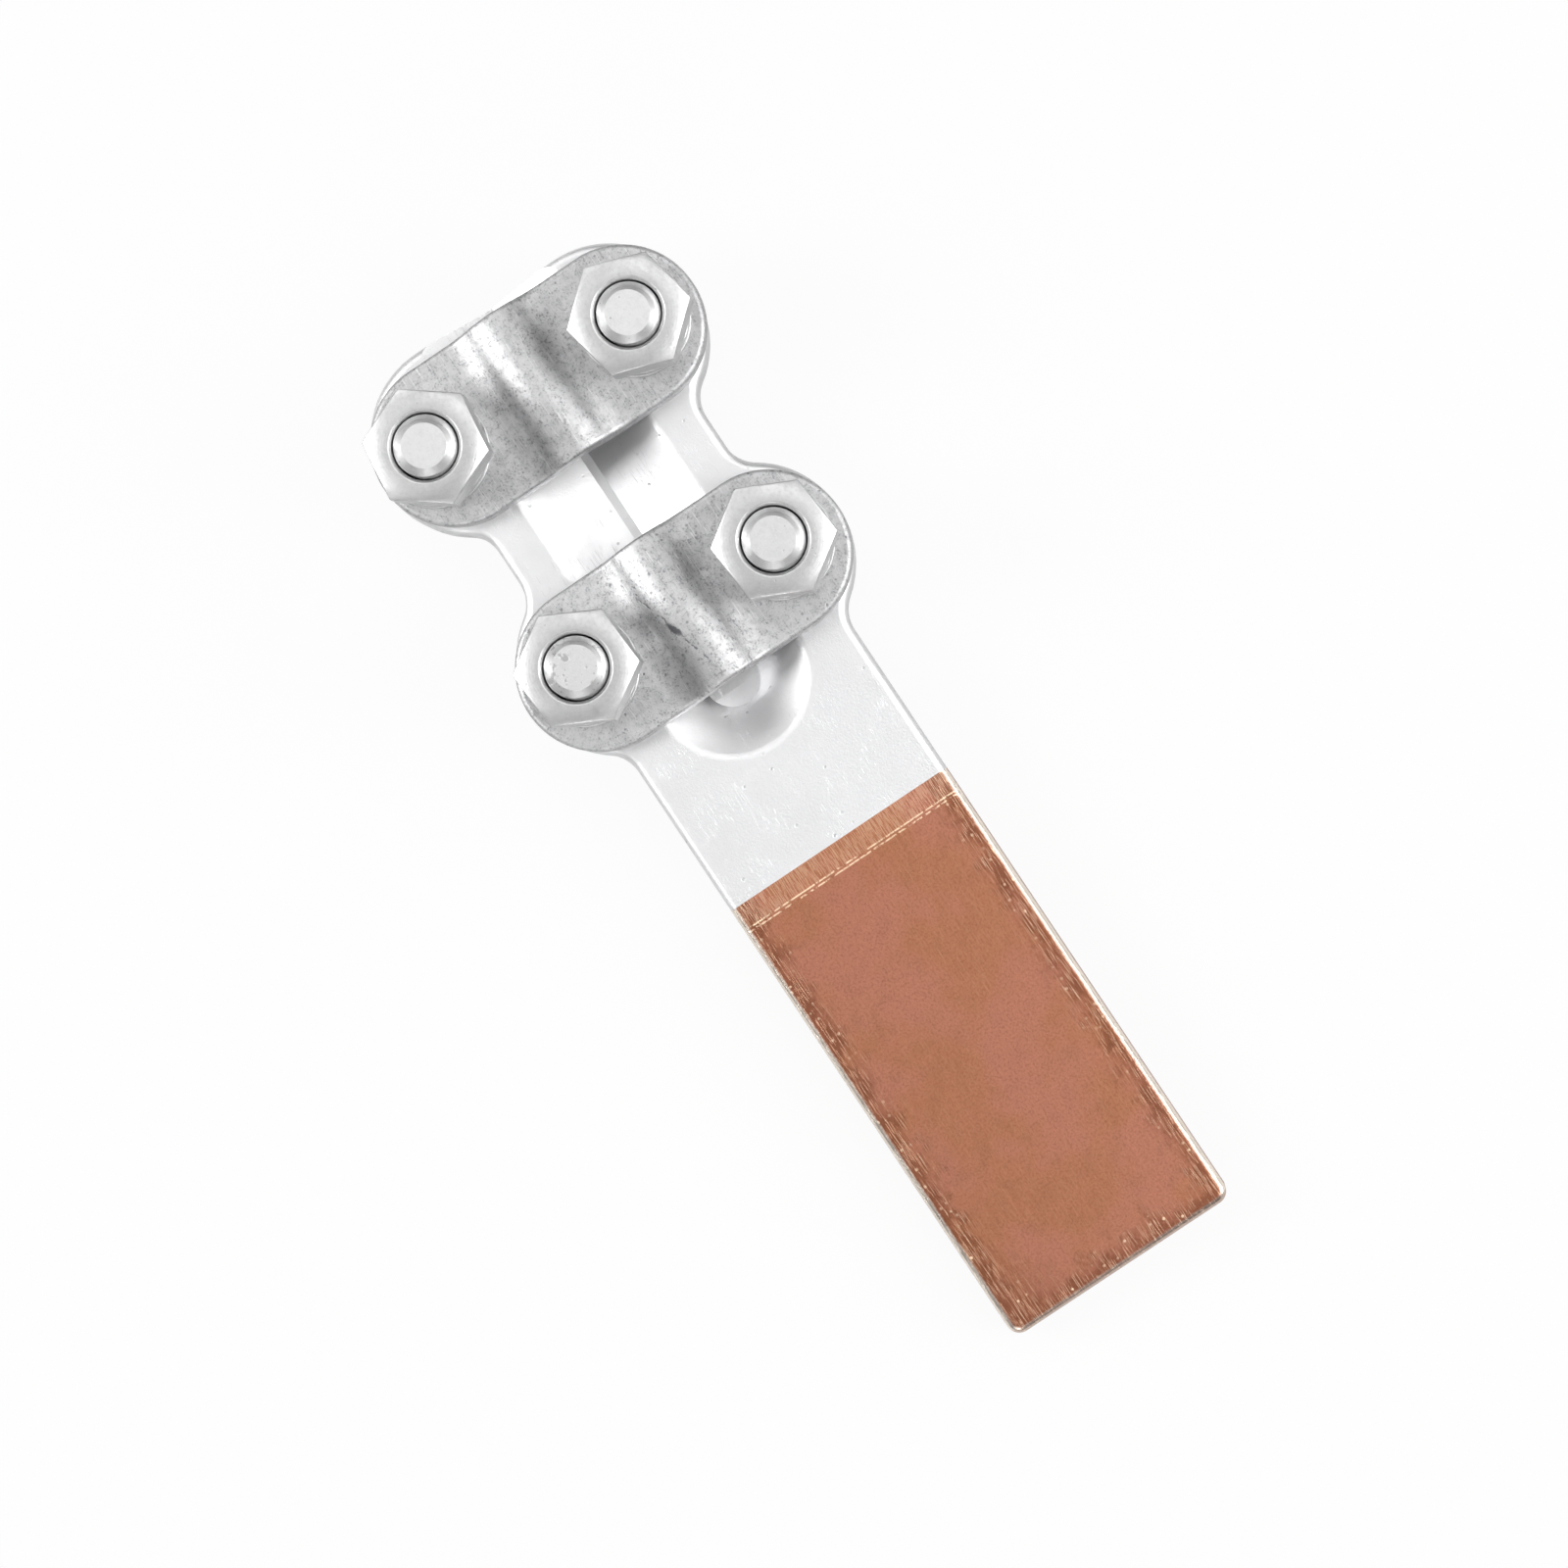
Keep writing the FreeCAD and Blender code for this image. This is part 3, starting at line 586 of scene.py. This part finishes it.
def helical_thread(mesh: bmesh.types.BMesh, thread: "Thread", low: float, high: float) -> None:
    """Threaded rod with a bevelled end, standing on its cut lower end.

    Args:
        mesh: the mesh that it is added to.
        thread: the thread's sizes.
        low: height of its lower end in metres.
        high: height of its upper end in metres.
    """
    start = low - 2 * thread.pitch
    turns = math.ceil((high - start) / thread.pitch) + 2
    profile = [
        (thread.root, 0.0),
        (thread.crest, thread.pitch * 0.40),
        (thread.crest, thread.pitch * 0.52),
        (thread.root, thread.pitch * 0.92),
        (thread.root, thread.pitch),
    ]
    points = [mesh.verts.new((radius, 0, start + height)) for radius, height in profile]
    edges = [mesh.edges.new(pair) for pair in zip(points, points[1:])]
    steps = turns * thread.steps
    bmesh.ops.spin(
        mesh,
        geom=points + edges,
        cent=(0, 0, 0),
        axis=UP,
        dvec=(0, 0, thread.pitch / thread.steps),
        angle=FULL_TURN * turns,
        steps=steps,
        use_merge=False,
    )
    bmesh.ops.remove_doubles(mesh, verts=mesh.verts, dist=0.004 * MM)
    cut(mesh, high, upper=True)
    cut(mesh, low, upper=False)
    for vert in mesh.verts:
        radius = math.hypot(vert.co.x, vert.co.y)
        limit = thread.crest - thread.tip + (high - vert.co.z)
        if radius > limit:
            vert.co.x *= limit / radius
            vert.co.y *= limit / radius
    rims = [edge for edge in mesh.edges if edge.is_boundary]
    bmesh.ops.holes_fill(mesh, edges=rims, sides=0)
    bmesh.ops.recalc_face_normals(mesh, faces=mesh.faces)


def cut(mesh: bmesh.types.BMesh, height: float, upper: bool) -> None:
    """Cut a mesh level at a height and drop what is beyond.

    Args:
        mesh: the mesh.
        height: height of the cut in metres.
        upper: whether the part above is dropped, or else the part below.
    """
    geometry = mesh.verts[:] + mesh.edges[:] + mesh.faces[:]
    bmesh.ops.bisect_plane(
        mesh,
        geom=geometry,
        dist=0.0005 * MM,
        plane_co=(0, 0, height),
        plane_no=UP,
        clear_outer=upper,
        clear_inner=not upper,
    )


def new_piece(name: str, mesh: bmesh.types.BMesh, foot: Vector, turn: float) -> bpy.types.Object:
    """Make a mesh an object with its place in its points, and keep their own frame in an attribute.

    Args:
        name: the piece's name.
        mesh: the mesh, about its own axis; it is freed.
        foot: where its origin goes, in metres.
        turn: angle about its axis in radians.

    Returns:
        The object.
    """
    data = bpy.data.meshes.new(name)
    mesh.to_mesh(data)
    mesh.free()
    own = data.attributes.new(LOCAL, "FLOAT_VECTOR", "POINT")
    flat = [value for vertex in data.vertices for value in vertex.co]
    own.data.foreach_set("vector", flat)
    data.transform(Matrix.Translation(foot) @ Matrix.Rotation(turn, 4, "Z"))
    data.shade_smooth()
    data.set_sharp_from_angle(angle=math.radians(28))
    piece = bpy.data.objects.new(name, data)
    bpy.context.scene.collection.objects.link(piece)
    return piece


def soften(piece: bpy.types.Object, width_mm: float, segments: int, group: str) -> None:
    """Round a piece's sharp edges and shade it smooth between them.

    Args:
        piece: the piece.
        width_mm: width of the rounding in millimetres.
        segments: faces across the rounding.
        group: name for the points that are rounded, or empty for every sharp edge.
    """
    bevel = piece.modifiers.new("edges", "BEVEL")
    bevel.width = width_mm * MM
    bevel.segments = segments
    bevel.harden_normals = True
    if group:
        piece.vertex_groups.new(name=group)
        bevel.limit_method = "VGROUP"
        bevel.vertex_group = group
    else:
        bevel.limit_method = "ANGLE"
        bevel.angle_limit = math.radians(28)


# Sub-assemblies


@dataclass(frozen=True)
class Thread:
    """Sizes of a metric thread, in metres."""

    crest: float = 4.9 * MM
    root: float = 4.15 * MM
    pitch: float = 1.5 * MM
    tip: float = 1.4 * MM
    steps: int = 40


class Side(Enum):
    """The side of the centreline that a bolt stands on."""

    LEFT = "left"
    RIGHT = "right"


class Station(Enum):
    """The place of a keeper plate along the conductor."""

    OUTER = "outer"
    INNER = "inner"


@dataclass
class BoltSet:
    """A hex bolt with its nut, spring washer and flat washer."""

    station: Station
    side: Side
    turn_deg: float
    finish: bpy.types.Material
    bolt_finish: bpy.types.Material
    thread: Thread = field(default_factory=Thread)
    flats: float = 17.0 * MM
    face_share: float = 0.475
    head: float = 6.4 * MM
    rounding_mm: float = 0.16
    mouth: float = 5.65 * MM
    bore: float = 5.2 * MM
    washer_bore: float = 5.3 * MM
    slit: float = 1.2 * MM
    slant: float = 1.0 * MM
    steps: int = 96

    @property
    def name(self) -> str:
        """Name that the set's nodes start with."""
        return f"{self.station.value}_{self.side.value}"

    @property
    def turn(self) -> float:
        """Turn of the nut in radians."""
        return math.radians(self.turn_deg)

    def build(self) -> list[bpy.types.Object]:
        """Build the pieces in the order of their nodes.

        Returns:
            The pieces.
        """
        return [self._bolt(), self._nut(), self._flat_washer(), self._spring_washer()]

    def _bolt(self) -> bpy.types.Object:
        """Bolt with a bevelled head under the ear and a threaded shank."""
        low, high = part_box(f"{self.name}_bolt")
        face = self.flats * self.face_share
        wall = self.flats / 2
        mesh = bmesh.new()
        helical_thread(mesh, self.thread, self.head * 0.9, high.z - low.z)
        profile = [(0.0, 0.0), (face, 0.0), (wall, 0.0), (wall, self.head), (0.0, self.head)]
        revolve(mesh, profile, self.steps, closed=False)
        press_to_hexagon(mesh, self.flats, face, self.head, (True, False))
        weights = mesh.verts.layers.deform.verify()
        for vert in mesh.verts:
            if math.hypot(vert.co.x, vert.co.y) > self.thread.crest * 1.1:
                vert[weights][0] = 1.0
        return self._dress(mesh, "bolt", "threaded_bolt", low.z, 0.0, "base", self.bolt_finish)

    def _nut(self) -> bpy.types.Object:
        """Hex nut, bevelled on both faces, with a countersunk bore."""
        low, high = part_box(f"{self.name}_nut")
        height = high.z - low.z
        sink = self.mouth - self.bore
        face = self.flats * self.face_share
        wall = self.flats / 2
        profile = [
            (self.mouth, 0.0), (face, 0.0), (wall, 0.0), (wall, height), (face, height),
            (self.mouth, height), (self.bore, height - sink), (self.bore, sink),
        ]
        mesh = bmesh.new()
        revolve(mesh, profile, self.steps, closed=True)
        press_to_hexagon(mesh, self.flats, face, height, (True, True))
        return self._dress(mesh, "nut", "hex_nut", low.z, self.turn, f"{self.name}_nut", self.finish)

    def _flat_washer(self) -> bpy.types.Object:
        """Flat washer."""
        low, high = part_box(f"{self.name}_flat_washer")
        height = high.z - low.z
        mesh = bmesh.new()
        revolve(mesh, self._section((high.x - low.x) / 2, height), self.steps, closed=True)
        return self._dress(mesh, "flat_washer", "plain_ring", low.z, 0.0, self._plate_body, self.finish)

    def _spring_washer(self) -> bpy.types.Object:
        """Spring washer with a slanted gap between its ends."""
        low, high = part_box(f"{self.name}_spring_washer")
        height = high.z - low.z
        outer = (high.x - low.x) / 2
        mesh = bmesh.new()
        points = [mesh.verts.new((radius, 0, level)) for radius, level in self._section(outer, height)]
        face = mesh.faces.new(points)
        middle = (self.washer_bore + outer) / 2
        gap = self.slit / middle
        bmesh.ops.spin(
            mesh, geom=[face], cent=(0, 0, 0), axis=UP, angle=FULL_TURN - gap,
            steps=self.steps, use_merge=False, use_duplicate=False,
        )
        tidy(mesh)
        start = math.pi / 2 + gap / 2
        for vert in mesh.verts:
            lean = self.slant * (vert.co.z / height - 0.5) / middle
            vert.co = Matrix.Rotation(start - lean, 3, "Z") @ vert.co
        body = self._plate_body
        return self._dress(mesh, "spring_washer", "split_ring", low.z, self.turn, body, self.finish)

    def _section(self, outer: float, height: float) -> Profile:
        """Section of a washer, as radius and height."""
        inner = self.washer_bore
        return [(inner, 0.0), (outer, 0.0), (outer, height), (inner, height)]

    @property
    def _plate_body(self) -> str:
        """Body of the plate that the washers lie on."""
        return f"{self.station.value}_plate"

    def _dress(
        self,
        mesh: bmesh.types.BMesh,
        node: str,
        suffix: str,
        foot: float,
        turn: float,
        body: str,
        finish: bpy.types.Material,
    ) -> bpy.types.Object:
        """Make a piece, give it its finish and let it stand for its node.

        Args:
            mesh: the piece's mesh about its own axis.
            node: the node's name after the set's name.
            suffix: the piece's name after the set's name.
            foot: height of the piece's foot in metres.
            turn: angle about its axis in radians.
            body: the body that it rides on.
            finish: its material.

        Returns:
            The piece.
        """
        piece = new_piece(f"{self.name}_{suffix}", mesh, self._axis(foot), turn)
        soften(piece, self.rounding_mm, 2, HEAD if node == "bolt" else "")
        piece.data.materials.append(finish)
        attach(piece, body)
        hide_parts(f"{self.name}_{node}")
        return piece

    def _axis(self, foot: float) -> Vector:
        """Point on the bolt's axis at a height."""
        low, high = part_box(f"{self.name}_flat_washer")
        return Vector(((low.x + high.x) / 2, (low.y + high.y) / 2, foot))


@dataclass
class Casting:
    """A node that keeps its own shape and gets a finish."""

    node: str
    finish: bpy.types.Material

    def dress(self) -> bpy.types.Object:
        """Give the node its finish.

        Returns:
            The node's object.
        """
        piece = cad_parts[self.node]
        piece.data.materials.clear()
        piece.data.materials.append(self.finish)
        return piece


@dataclass(frozen=True)
class SoftBox:
    """Round area lamp that faces the object from one direction.

    The direction is given in the photograph's frame: off_vertical_deg from
    straight above, towards azimuth_deg, where 0 is the image's right side.
    """

    name: str
    off_vertical_deg: float
    azimuth_deg: float
    radiance: float
    radius: float
    distance: float = 1.0

    def build(self, right: Vector, up: Vector, target: Vector) -> None:
        """Add the lamp.

        Args:
            right: the image's right side in the part's frame.
            up: the image's upper side in the part's frame.
            target: the point that it faces.
        """
        off, azimuth = math.radians(self.off_vertical_deg), math.radians(self.azimuth_deg)
        level = math.cos(azimuth) * right + math.sin(azimuth) * up
        towards = math.sin(off) * level + math.cos(off) * UP
        data = bpy.data.lights.new(self.name, "AREA")
        data.shape = "DISK"
        data.size = 2 * self.radius
        data.energy = self.radiance * math.pi * math.pi * self.radius**2
        lamp = bpy.data.objects.new(self.name, data)
        bpy.context.scene.collection.objects.link(lamp)
        lamp.location = target + towards * self.distance
        lamp.rotation_euler = (-towards).to_track_quat("-Z", "Y").to_euler()


@dataclass
class Studio:
    """Floor, lamps and camera."""

    soft_boxes: tuple[SoftBox, ...] = (
        SoftBox("soft_box_right", 58.0, 0.0, 9.1, 0.27),
        SoftBox("soft_box_left", 58.0, 180.0, 11.5, 0.27),
        SoftBox("soft_box_lower", 58.0, 270.0, 4.3, 0.27),
        SoftBox("soft_box_upper", 58.0, 45.0, 2.7, 0.27),
        SoftBox("soft_box_high_right", 30.0, 0.0, 4.4, 0.27),
        SoftBox("soft_box_high_left", 30.0, 180.0, 1.4, 0.27),
        SoftBox("soft_box_high_upper", 30.0, 90.0, 2.2, 0.27),
        SoftBox("soft_box_palm", 58.0, 124.0, 2.0, 0.27),
    )
    surroundings: float = 0.15
    target: tuple[float, float, float] = (-0.05, 0.0, 0.0)
    floor_reach: float = 3.0
    floor_low: tuple[float, float] = (-74.2, -14.42)
    floor_high: tuple[float, float] = (38.5, -8.02)
    camera_at: tuple[float, float, float] = (-13.09, 35.49, 800.0)
    camera_turn_deg: tuple[float, float, float] = (-0.78, -3.76, 0.14)
    image_right: tuple[float, float] = (0.5534, 0.8329)
    focal_px: float = 5295.06
    image_px: float = 1600.0

    def build(self) -> None:
        """Make everything round the object."""
        self._floor()
        self._world()
        right_x, right_y = self.image_right
        right, up = Vector((right_x, right_y, 0)), Vector((-right_y, right_x, 0))
        for box in self.soft_boxes:
            box.build(right, up, Vector(self.target))
        self._camera()

    def _floor(self) -> None:
        """Pale plane under the bolts' heads and the palm's end."""
        mesh = bmesh.new()
        bmesh.ops.create_grid(mesh, x_segments=1, y_segments=1, size=self.floor_reach)
        (x_low, z_low), (x_high, z_high) = self.floor_low, self.floor_high
        tilt = math.atan2(z_high - z_low, x_high - x_low)
        data = bpy.data.meshes.new("floor")
        place = Matrix.Translation((x_low * MM, 0, z_low * MM)) @ Matrix.Rotation(-tilt, 4, "Y")
        mesh.to_mesh(data)
        mesh.free()
        data.transform(place)
        floor = bpy.data.objects.new("floor", data)
        bpy.context.scene.collection.objects.link(floor)
        data.materials.append(self._floor_finish())

    @staticmethod
    def _floor_finish() -> bpy.types.Material:
        """Pale paper that the camera sees as nearly white."""
        g = Graph("pale_paper")
        g.finish(base_color=(0.50, 0.50, 0.50), roughness=0.9)
        path = g.node("ShaderNodeLightPath", output="Is Camera Ray")
        glow = g.node("ShaderNodeEmission", None, {"Color": (1.0, 1.0, 1.0), "Strength": 1.0})
        paper = Term(g, g.shader.outputs[0])
        blend = g.node("ShaderNodeMixShader", None, {0: path * 0.93, 1: paper, 2: glow})
        g.tree.links.new(blend.socket, g.output.inputs[0])
        return g.material

    def _world(self) -> None:
        """Even, dim surroundings."""
        world = bpy.data.worlds.new("studio")
        world.use_nodes = True
        background = world.node_tree.nodes["Background"]
        background.inputs["Color"].default_value = (1.0, 1.0, 1.0, 1.0)
        background.inputs["Strength"].default_value = self.surroundings
        bpy.context.scene.world = world

    def _camera(self) -> None:
        """Camera above the part, at the photograph's viewing angle."""
        data = bpy.data.cameras.new("camera")
        data.sensor_width = 36.0
        data.lens = self.focal_px / self.image_px * data.sensor_width
        data.clip_start = 0.01
        data.clip_end = 20.0
        camera = bpy.data.objects.new("camera", data)
        bpy.context.scene.collection.objects.link(camera)
        right_x, right_y = self.image_right
        level = Matrix(((right_x, right_y, 0), (-right_y, right_x, 0), (0, 0, 1)))
        turn = Vector([math.radians(angle) for angle in self.camera_turn_deg])
        lean = Matrix.Rotation(turn.length, 3, turn.normalized())
        rows = lean @ level
        place = Matrix.Translation(Vector(self.camera_at) * MM)
        camera.matrix_world = place @ rows.transposed().to_4x4()
        bpy.context.scene.camera = camera


NUT_TURNS: dict[tuple[Station, Side], float] = {
    (Station.OUTER, Side.LEFT): 11.0,
    (Station.OUTER, Side.RIGHT): -7.4,
    (Station.INNER, Side.LEFT): 4.4,
    (Station.INNER, Side.RIGHT): 2.8,
}


def main() -> None:
    """Build the object's looks and the studio round it."""
    logging.basicConfig(level=logging.INFO, format="%(name)s: %(message)s")
    bpy.context.scene.view_settings.view_transform = "Standard"
    fastener = GalvanisedFastener().material()
    plain_bolt = GalvanisedFastener("plain_bolt", BOLT_PALE, BOLT_DARK).material()
    pitted_bolt = GalvanisedFastener("pitted_bolt", BOLT_PALE, BOLT_DARK, blotches=0.9).material()
    smooth_plate = GalvanisedPlate(
        "outer_plate_zinc", pit_share=0.20, pit_size=0.20, pit_depth=0.6, depth_mm=0.06
    )
    pitted_plate = GalvanisedPlate("inner_plate_zinc", pit_share=0.42, gash=True)
    pieces = [
        Casting("clamp_body", CastAluminium().material()).dress(),
        Casting("copper_palm", BareCopper().material()).dress(),
        Casting("outer_clamp_plate", smooth_plate.material()).dress(),
        Casting("inner_clamp_plate", pitted_plate.material()).dress(),
    ]
    for (station, side), turn in NUT_TURNS.items():
        last = station is Station.INNER and side is Side.RIGHT
        bolt_finish = pitted_bolt if last else plain_bolt
        pieces += BoltSet(station, side, turn, fastener, bolt_finish).build()
    for piece in pieces:
        log.info("%s: %d faces", piece.name, len(piece.data.polygons))
    Studio().build()


if __name__ == "__main__":
    main()
